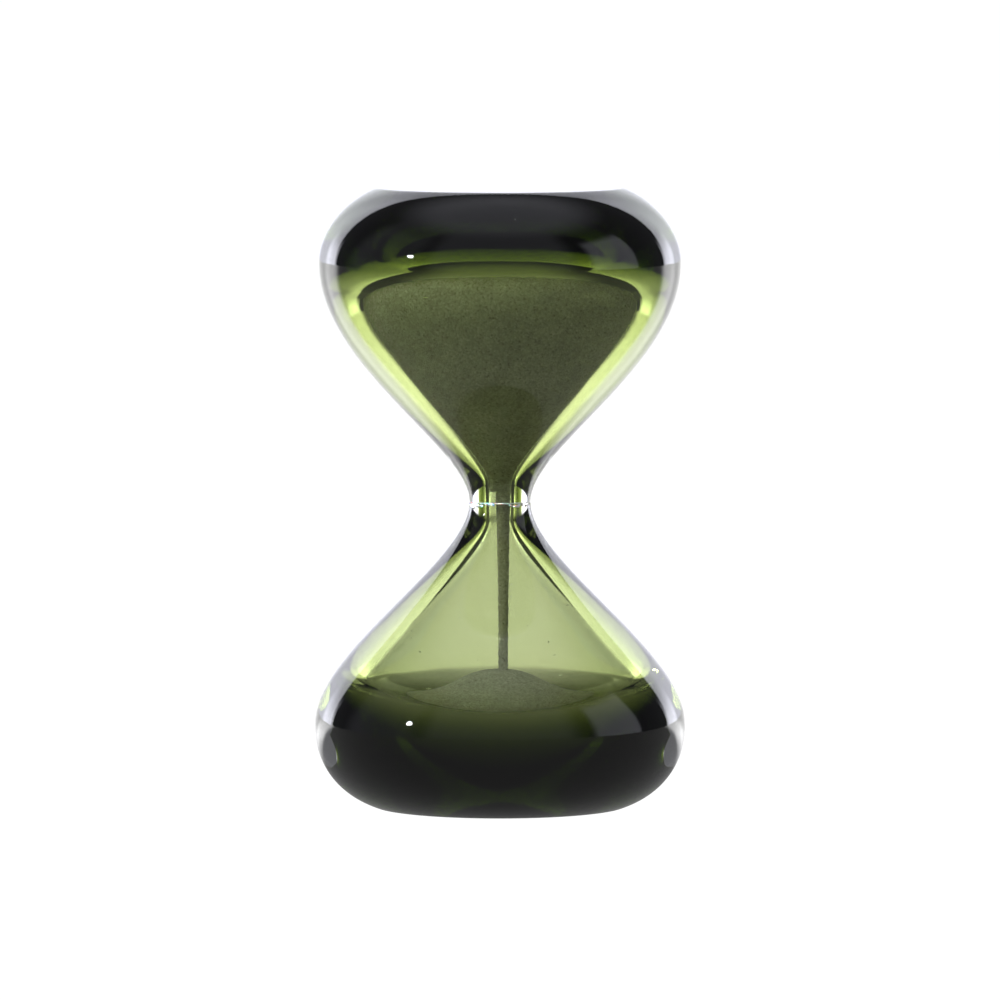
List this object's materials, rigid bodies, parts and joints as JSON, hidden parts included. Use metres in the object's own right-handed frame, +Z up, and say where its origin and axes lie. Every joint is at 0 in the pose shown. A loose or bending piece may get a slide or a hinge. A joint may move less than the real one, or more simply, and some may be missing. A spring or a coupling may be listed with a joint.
{
  "type": "hourglass",
  "caption": "Frameless hourglass of thick glass, clear outside and green inside, with drop-shaped bulbs glued at a slim neck, pale sand, a falling stream and flat ends.",
  "frame": {"origin": "centre of the flat base face that the hourglass stands on", "axes": "+Z up the axis from the base face to the top face; X and Y across, with the sand stream set a little off the axis along +X"},
  "size_m": [0.09, 0.09, 0.15],
  "materials": {
    "clear_glass": "polished",
    "green_glass": "polished",
    "clear_glue": "gloss",
    "fine_sand": "matte"
  },
  "bodies": {
    "root": {"lower_clear_casing": "clear_glass", "lower_green_lining": "green_glass", "upper_clear_casing": "clear_glass", "upper_green_lining": "green_glass", "joint_adhesive": "clear_glue", "upper_sand": "fine_sand", "sand_stream": "fine_sand", "lower_sand": "fine_sand"}
  },
  "joints": []
}
